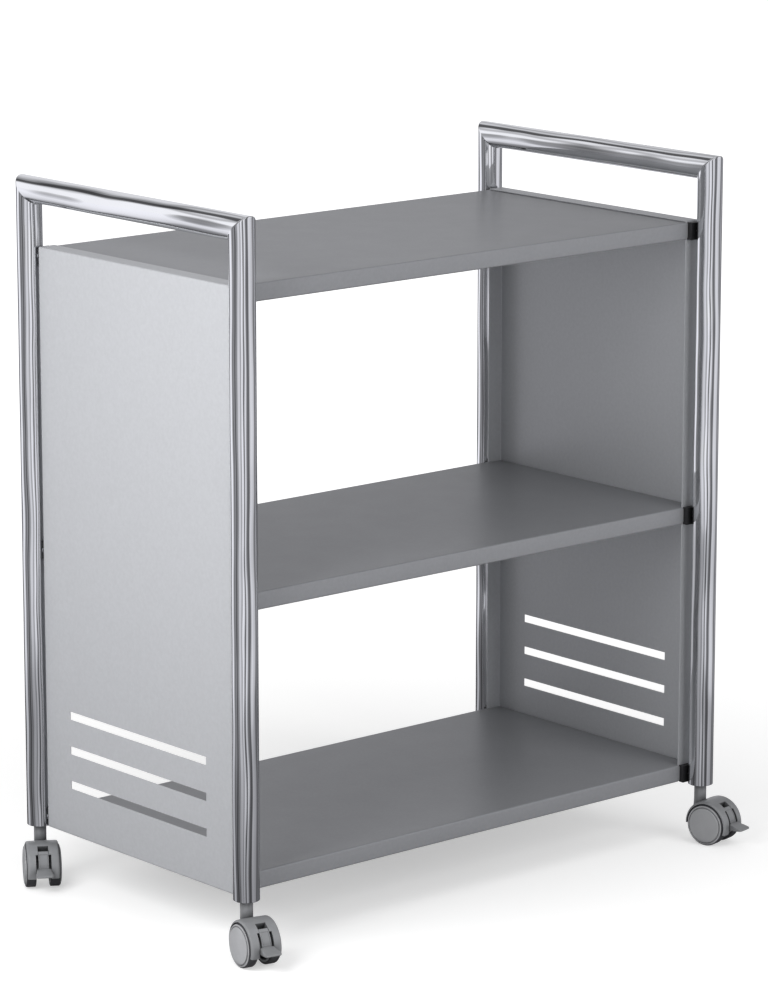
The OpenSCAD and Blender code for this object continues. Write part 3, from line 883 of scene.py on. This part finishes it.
class CART_OT_castor_bodies(bpy.types.Operator):
    """Builds the four castor bodies with their mudguards, webs and necks"""

    bl_idname = "cart.castor_bodies"
    bl_label = "Castor bodies"

    def execute(self, context):
        sizes = context.scene.cart_castors
        for corner in CORNERS:
            body = f"castor_{corner}"
            guard = placed([guard_surface(sizes)], corner, sizes)
            make_piece(f"mudguard_{corner}", guard, body, "castor", wall=1.9 * MM, bevel=0.45 * MM)
            core = [web_surface(sizes), neck_surface(sizes), *window_walls(sizes)]
            make_piece(f"castor_core_{corner}", placed(core, corner, sizes), body, "castor",
                       [f"castor_body_{corner}"])
        return {"FINISHED"}


def tyre_profile(sizes):
    """Tread band: (along, radius) round its section, with soft shoulders."""
    low, high, outer = sizes.wheel_in, sizes.wheel_out, sizes.wheel_r
    rim, side, shoulder = outer - TREAD, outer - TREAD + 0.8 * MM, 1.3 * MM
    cosine, sine = arc(180, 90, 5)
    along, radius = low + shoulder + shoulder * cosine, outer - shoulder + shoulder * sine
    left = np.stack([along, radius], axis=1)
    right = left[::-1] * [-1, 1] + [low + high, 0]
    return np.concatenate([[[low, rim], [low, side]], left, right,
                           [[high, side], [high, rim], [low, rim]]])


def wheel_profile(sizes):
    """Wheel core: hub, inner pocket, rim and outer dish, as (along, radius) pairs."""
    low, high, rim = sizes.wheel_in, sizes.wheel_out, sizes.wheel_r - TREAD
    hub, dish, bore, step = low - 0.8 * MM, high - 2.6 * MM, 3.05 * MM, rim - 3 * MM
    return np.array([
        [hub, bore], [hub, 5.7 * MM], [low - 0.5 * MM, 6 * MM],
        [low + 5.5 * MM, 6.1 * MM], [low + 5.75 * MM, 7 * MM], [low + 5.75 * MM, step],
        [low + 5.3 * MM, rim - 2.1 * MM], [low + 0.3 * MM, rim - 2 * MM], [low, rim - 1.7 * MM],
        [low, rim], [high, rim], [high, step], [dish, step], [dish, bore], [hub, bore],
    ])


def cover_profile(sizes):
    """Wheel cover: a shallow dome, a groove and a rounded rim, then its back and plug ring."""
    seat, face, outer = sizes.wheel_out, sizes.wheel_out + 0.8 * MM, 0.96 * sizes.wheel_r
    dome_r, rise, fall = 20.3 * MM, 1.5, 0.55
    radius = np.linspace(0, dome_r, 26)
    dome = np.stack([face + MM * (rise - fall * (radius / dome_r) ** 2), radius], axis=1)
    groove = np.array([[face + 0.8 * MM, 20.7 * MM], [face + 0.45 * MM, 20.95 * MM],
                       [face - 0.6 * MM, 21.1 * MM], [face - 0.7 * MM, 21.3 * MM],
                       [face - 0.7 * MM, 21.8 * MM], [face - 0.6 * MM, 22 * MM]])
    middle, half, ring = 23 * MM, 1 * MM, 0.55 * MM
    cosine, sine = arc(180, 0, 8)
    rim = np.stack([face - ring + (ring + 0.05 * MM) * sine, middle + half * cosine], axis=1)
    plug, plug_r, plug_in = seat - 2 * MM, 18.95 * MM, 17 * MM
    back = np.array([[seat, outer - 0.05 * MM], [seat, plug_r], [plug, plug_r], [plug, plug_in],
                     [seat, plug_in], [seat, 0]])
    return np.concatenate([dome, groove, rim, back])


class CART_OT_wheels(bpy.types.Operator):
    """Builds the eight wheels with their cores, tyres and domed covers"""

    bl_idname = "cart.wheels"
    bl_label = "Wheels"

    def execute(self, context):
        sizes = context.scene.cart_castors
        kinds = (
            ("wheel_core", "wheel", wheel_profile, "castor"),
            ("tread", "tyre", tyre_profile, "tyre"),
            ("cover_disc", "wheel_cover", cover_profile, "cover"),
        )
        for corner in CORNERS:
            for side, sign in SIDES.items():
                for kind, node, profile, finish in kinds:
                    points, quads = lathe(profile(sizes))
                    shape = placed([(points * [sign, 1, 1], quads)], corner, sizes)
                    make_piece(f"{kind}_{corner}_{side}", shape, f"wheel_{corner}_{side}", finish,
                               [f"{node}_{corner}_{side}"])
        return {"FINISHED"}


def lever_plate(sizes):
    """Brake lever: one section across it, carried over the angle round the axle.

    The plate runs from 12 degrees under to 50 over the level of the axle, with an arm and a round
    boss at its top. Its outer face is sunk a little between 11 and 42 degrees.
    """
    arm_start, plate_end, sunk_start, sunk_end = 34, 50, 11, 42.5
    degrees = np.r_[-12, -12, np.linspace(-11.4, 10.5, 16), np.linspace(sunk_start, 12, 3),
                    np.linspace(13, 33.9, 14), 34.1, np.linspace(35, 41, 5),
                    np.linspace(41.5, sunk_end, 3), np.linspace(43.5, plate_end, 6),
                    np.linspace(50.02, 59.3, 14)]
    outer, thick, boss, pin = sizes.guard_r - LEVER_GAP, 4 * MM, 3.5 * MM, 21.5 * MM
    past = np.maximum(0, degrees - plate_end) * np.radians(1) * pin
    bulge = np.sqrt(np.maximum(0, boss ** 2 - past ** 2))
    inner = np.where(degrees > arm_start, pin - 3 * MM, outer - thick)
    high = np.where(degrees > plate_end, pin + bulge, outer)
    low = np.where(degrees > plate_end, pin - bulge, inner)
    first, last = (high[0] + low[0]) / 2, pin
    high[[0, -1]], low[[0, -1]] = [first, last], [first, last]
    into, out = np.clip(degrees - sunk_start, 0, 1), np.clip(sunk_end - degrees, 0, 1)
    sunk = 0.5 * MM * into * out
    half, cut, nick, rim, fall = sizes.lever_half, 0.45 * MM, 0.13 * MM, 1.1 * MM, 0.25 * MM
    right_x = np.array([half - rim - fall, half - rim, half - cut, half - nick, half,
                        half, half - nick, half - cut])
    cut = np.minimum(cut, (high - low)[:, None] / 2)
    high, low, sunk = high[:, None], low[:, None], sunk[:, None]
    right_r = np.concatenate([high - sunk, high, high, high - 0.3 * cut, high - cut,
                              low + cut, low + 0.3 * cut, low], axis=1)
    along = np.r_[right_x, -right_x[::-1]][None, :]
    radius = np.concatenate([right_r, right_r[:, ::-1]], axis=1)
    angle = np.radians(degrees)[:, None]
    return surface(around_axle(angle, radius, along), ring_cols=True)


def lever_ledge(sizes):
    """Foot ledge: rounded rectangles carried forward, which widen before the mudguard and thin out.

    The top face falls from 13 degrees over the axle's level inside the plate to the tip, and the
    underside rises to the tip from 12 degrees under it. The corners of the tip are rounded off.
    """
    guard, tip, tip_h, corner, blunt = sizes.guard_r, np.radians(-3), 2 * MM, 2.6 * MM, 0.8 * MM
    root, wing, neck, flared = guard - 4.25 * MM, guard + 0.3 * MM, guard + 4 * MM, guard + 9 * MM
    ends = around_axle(np.radians([13, -12]), root, 0)[:, 1:]
    low_tip = around_axle(tip, sizes.ledge_r, 0)[1:]
    reach = -low_tip[0]
    way = np.r_[root, root, wing - 0.15 * MM, wing, wing + 0.15 * MM, neck, guard + 6.5 * MM,
                flared, reach - MM * np.array([4, 2.6, 1.5, 0.8, 0.3, 0.08, 0, 0])]
    top = np.interp(way, [-ends[0, 0], reach], [ends[0, 1], low_tip[1] + tip_h])
    under = np.interp(way, [-ends[1, 0], reach], [ends[1, 1], low_tip[1]])
    flare = np.interp(way, [neck, flared], [sizes.ledge_half, sizes.tip_half])
    half = np.where(way < wing, sizes.lever_half - 0.1 * MM, flare)
    past = np.clip((way - reach + corner) / corner, 0, 1)
    half = half - corner * (1 - np.sqrt(1 - past ** 2)) * (past > 0)
    past = np.clip((way - reach + blunt) / blunt, 0, 1)
    thick = (top - under) / 2 * np.sqrt(1 - 0.75 * past ** 2)
    thick[[0, -1]] = 0
    half[[0, -1]] *= 0.5
    flat_x, flat_z = rounded_square(0.28)
    points = grid_of(half[:, None] * flat_x, -way[:, None],
                     (top + under)[:, None] / 2 + thick[:, None] * flat_z)
    return surface(points, ring_cols=True)


class CART_OT_brake_levers(bpy.types.Operator):
    """Builds the four brake levers with their sunk faces and foot ledges"""

    bl_idname = "cart.brake_levers"
    bl_label = "Brake levers"

    def execute(self, context):
        sizes = context.scene.cart_castors
        for corner in CORNERS:
            shape = placed([lever_plate(sizes), lever_ledge(sizes)], corner, sizes)
            make_piece(f"lever_{corner}", shape, f"brake_{corner}", "castor",
                       [f"brake_lever_{corner}"])
        return {"FINISHED"}


class CART_OT_fittings(bpy.types.Operator):
    """Gives the screws, nuts, spacers, inserts, stems, axles and pins their finishes"""

    bl_idname = "cart.fittings"
    bl_label = "Fittings"

    def execute(self, context):
        steel = ["shelf_screws", "rivet_nuts", "grip_rings"]
        for corner in CORNERS:
            steel += [f"castor_stem_{corner}", f"castor_axle_{corner}", f"brake_pin_{corner}"]
        for finish, nodes in (("steel", steel), ("black", ["post_spacers", "post_inserts"])):
            for node in nodes:
                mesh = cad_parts[node].data
                mesh.materials.clear()
                mesh.materials.append(material(finish))
        return {"FINISHED"}


# Studio

WHITE = (1, 1, 1, 1)
# Grey levels of the room in reflections, by heading in degrees from +Y towards +X
ROOM_BANDS = (
    (-180, 0.20), (-173, 0.70), (-165, 0.95), (-158, 0.60), (-153, 0.12), (-149, 0.15),
    (-143, 0.90), (-134, 1.00), (-127, 0.35), (-116, 0.80), (-104, 0.60), (-97, 0.16),
    (-88, 0.42), (-80, 0.12), (-70, 0.10), (-62, 0.36), (-54, 0.12), (-46, 0.35),
    (-38, 1.00), (-18, 1.00), (-7, 0.12), (7, 0.12), (16, 0.75), (40, 0.75), (56, 0.25),
    (72, 0.06), (96, 0.45), (110, 0.14), (124, 0.65), (150, 0.80), (164, 0.12), (180, 0.20),
)
# Angle over which soft noise bends the bands, in radians
ROOM_BEND = 0.7
# Share of that grey level, by height from straight down at -1 to straight up at 1
HEIGHT_BANDS = (
    (-1.0, 0.25), (-0.64, 0.4), (-0.58, 0.5), (-0.5, 0.85), (-0.3, 0.95), (0.0, 1.0),
    (0.42, 1.0), (0.54, 0.5), (0.62, 0.6), (0.66, 0.85), (0.9, 0.9), (1.0, 0.9),
)
# Light that the floor adds for the camera, by distance from the cart's middle in metres
GLOW_BANDS = ((0.0, 0.42), (0.5, 0.48), (1.0, 0.62), (2.2, 0.85), (4.0, 0.9))
# Share of the room that the floor lets through in reflections, by the same distance
FLOOR_BANDS = ((0.0, 0.35), (0.6, 0.50), (1.0, 0.60), (1.35, 0.85), (2.2, 0.95), (3.6, 1.0))
FLOOR_REACH = 40.0
# Place, target and size of each soft box
KEY_PLACE, KEY_TARGET, KEY_SIZE = (-1.25, -0.25, 0.92), (-0.35, 0, 0.68), 0.8
FRONT_PLACE, FRONT_TARGET, FRONT_SIZE = (0.6, -3.6, 1.8), (0, 0, 0.4), 2.4


def floor_shader(colour):
    """Matt floor, made paler for the camera, which keeps shadows and is clear in reflections."""
    paper = bpy.data.materials.new("floor_paper")
    floor = Tree(paper)
    floor.nodes.clear()
    place = floor.add("TexCoord").outputs["Object"]
    away = floor.add("VectorMath", {0: place}, operation="LENGTH").outputs["Value"]
    ray = floor.add("LightPath").outputs
    strength = floor.number("MULTIPLY", ray["Is Camera Ray"], floor.graded(away, GLOW_BANDS))
    matt = floor.add("BsdfDiffuse", {"Color": (*colour, 1)})
    lit = floor.add("AddShader", {0: matt, 1: floor.add("Emission", {"Strength": strength})})
    clear = floor.add("BsdfTransparent", {"Color": floor.graded(away, FLOOR_BANDS)})
    both = floor.add("MixShader", {0: ray["Is Glossy Ray"], 1: lit, 2: clear})
    floor.add("OutputMaterial", {"Surface": both})
    return paper


def room_levels(room):
    """Grey level of the room in a direction: its band by heading times its share by height.

    Soft noise, read on the circle of headings at the direction's height, bends the bands.
    """
    direction = room.add("TexCoord").outputs["Generated"]
    x, y, z = room.add("SeparateXYZ", {"Vector": direction}).outputs
    circle = room.vector("NORMALIZE", room.vector("MULTIPLY", direction, (1, 1, 0)))
    place = room.vector("ADD", circle, room.add("CombineXYZ", {"Z": z}))
    noise = room.add("TexNoise", {"Vector": place, "Scale": 1.6, "Detail": 3})
    bend = room.number("MULTIPLY_ADD", noise.outputs["Fac"], ROOM_BEND, -ROOM_BEND / 2)
    heading = room.number("ADD", room.number("ARCTAN2", x, y), bend)
    bands = [(np.radians(angle), level) for angle, level in ROOM_BANDS]
    return room.vector("MULTIPLY", room.graded(heading, bands), room.graded(z, HEIGHT_BANDS))


def studio_world(fill):
    """White room: even light on matt surfaces, and bright and dark bands in reflections."""
    world = bpy.data.worlds.new("studio")
    room = Tree(world)
    room.nodes.clear()
    ray = room.add("LightPath").outputs
    seen = room.number("MAXIMUM", ray["Is Camera Ray"], ray["Is Transmission Ray"])
    even = room.add("Background", {"Color": WHITE, "Strength": fill})
    plain = room.add("MixShader", {0: seen, 1: even, 2: room.add("Background", {"Color": WHITE})})
    banded = room.add("Background", {"Color": room_levels(room)})
    both = room.add("MixShader", {0: ray["Is Glossy Ray"], 1: plain, 2: banded})
    room.add("OutputWorld", {"Surface": both})
    return world


def soft_lamp(name, place, target, size, watts):
    """Square soft box, turned to a target, that neither the camera nor a reflection shows."""
    light = bpy.data.lights.new(name, "AREA")
    light.size = size
    light.energy = watts
    lamp = linked(name, light)
    turn = (Vector(target) - Vector(place)).to_track_quat("-Z", "Y").to_matrix().to_4x4()
    lamp.matrix_world = Matrix.Translation(place) @ turn
    lamp.visible_camera = False
    lamp.visible_glossy = False


def view_camera(look):
    """Camera at its place, turned from +Y to the heading and then down by the pitch."""
    camera = bpy.data.cameras.new("camera")
    camera.lens = look.lens
    camera.sensor_width = 36
    camera.clip_start = 0.1
    camera.clip_end = 100
    eye = linked("camera", camera)
    turn = Matrix.Rotation(-look.heading, 4, "Z")
    tilt = Matrix.Rotation(np.pi / 2 - look.pitch, 4, "X")
    eye.matrix_world = Matrix.Translation(look.place) @ turn @ tilt
    return eye


class CART_OT_studio(bpy.types.Operator):
    """Sets the floor, the room, the lights and the camera"""

    bl_idname = "cart.studio"
    bl_label = "Studio"

    def execute(self, context):
        scene = context.scene
        look = scene.cart_look
        span = np.array([-FLOOR_REACH, FLOOR_REACH])
        points, quads = surface(grid_of(span[:, None], span[None, :], 0))
        mesh = mesh_of("floor", points, quads)
        mesh.materials.append(floor_shader(look.floor))
        floor = linked("floor", mesh)
        soft_lamp("key_light", KEY_PLACE, KEY_TARGET, KEY_SIZE, look.key)
        soft_lamp("front_light", FRONT_PLACE, FRONT_TARGET, FRONT_SIZE, look.front)
        scene.world = studio_world(look.fill)
        scene.camera = view_camera(look)
        scene.view_settings.view_transform = "Standard"
        return {"FINISHED"}


class CART_PT_pieces(bpy.types.Panel):
    """Panel in the sidebar that lists the pieces of the cart"""

    bl_idname = "CART_PT_pieces"
    bl_label = "Shelf cart"
    bl_space_type = "VIEW_3D"
    bl_region_type = "UI"
    bl_category = "Cart"

    def draw(self, context):
        for operator in OPERATORS:
            self.layout.operator(operator.bl_idname)
        for group in GROUPS:
            box = self.layout.box()
            owner = getattr(context.scene, group)
            for key in owner.__annotations__:
                box.prop(owner, key)


OPERATORS = (
    CART_OT_tube_frames,
    CART_OT_side_panels,
    CART_OT_shelves,
    CART_OT_castor_bodies,
    CART_OT_wheels,
    CART_OT_brake_levers,
    CART_OT_fittings,
    CART_OT_studio,
)
GROUPS = {
    "cart_tubes": TubeSizes,
    "cart_sheets": SheetSizes,
    "cart_castors": CastorSizes,
    "cart_colours": FinishColours,
    "cart_look": StageLook,
}
CLASSES = (*GROUPS.values(), *OPERATORS, CART_PT_pieces)


def register():
    """Registers the classes and puts the groups of sizes on the scene."""
    for kind in CLASSES:
        bpy.utils.register_class(kind)
    for name, group in GROUPS.items():
        setattr(bpy.types.Scene, name, PointerProperty(type=group))


def unregister():
    """Takes the groups off the scene and unregisters the classes."""
    for name in GROUPS:
        delattr(bpy.types.Scene, name)
    for kind in reversed(CLASSES):
        bpy.utils.unregister_class(kind)


def main():
    register()
    bpy.ops.cart.tube_frames()
    bpy.ops.cart.side_panels()
    bpy.ops.cart.shelves()
    bpy.ops.cart.castor_bodies()
    bpy.ops.cart.wheels()
    bpy.ops.cart.brake_levers()
    bpy.ops.cart.fittings()
    bpy.ops.cart.studio()


if __name__ == "__main__":
    main()
